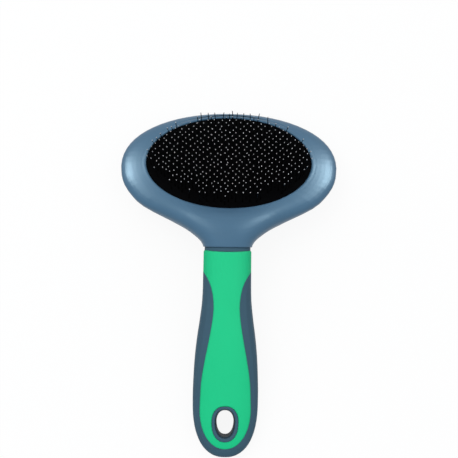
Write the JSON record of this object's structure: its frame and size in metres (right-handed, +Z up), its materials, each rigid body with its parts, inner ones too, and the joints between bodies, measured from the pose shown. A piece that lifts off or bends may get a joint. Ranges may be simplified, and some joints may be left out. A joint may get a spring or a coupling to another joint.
{
  "type": "pet grooming brush",
  "caption": "Oval slicker brush with bent wire pins in a black rubber pad, a blue-grey head and a two-colour soft-grip handle with an oval hang hole.",
  "frame": {"origin": "centre of the brush's footprint, on the surface that it lies on", "axes": "+Y from the handle's tip to the far edge of the head, +X across the head, +Z up, the way the pins point"},
  "size_m": [0.1156, 0.1852, 0.0384],
  "materials": {
    "head_plastic": "satin blue-grey moulded plastic",
    "pad_rubber": "matte black rubber",
    "cushion_foam": "dark grey foam",
    "pin_steel": "plated steel wire",
    "core_plastic": "matte grey-blue moulded plastic",
    "grip_rubber": "matte green soft overmould"
  },
  "bodies": {
    "root": {"head_frame": "head_plastic", "back_cap": "head_plastic", "pad_sheet": "pad_rubber", "foam_cushion": "cushion_foam", "pins": "pin_steel", "handle_core": "core_plastic", "grip": "grip_rubber"}
  },
  "joints": []
}
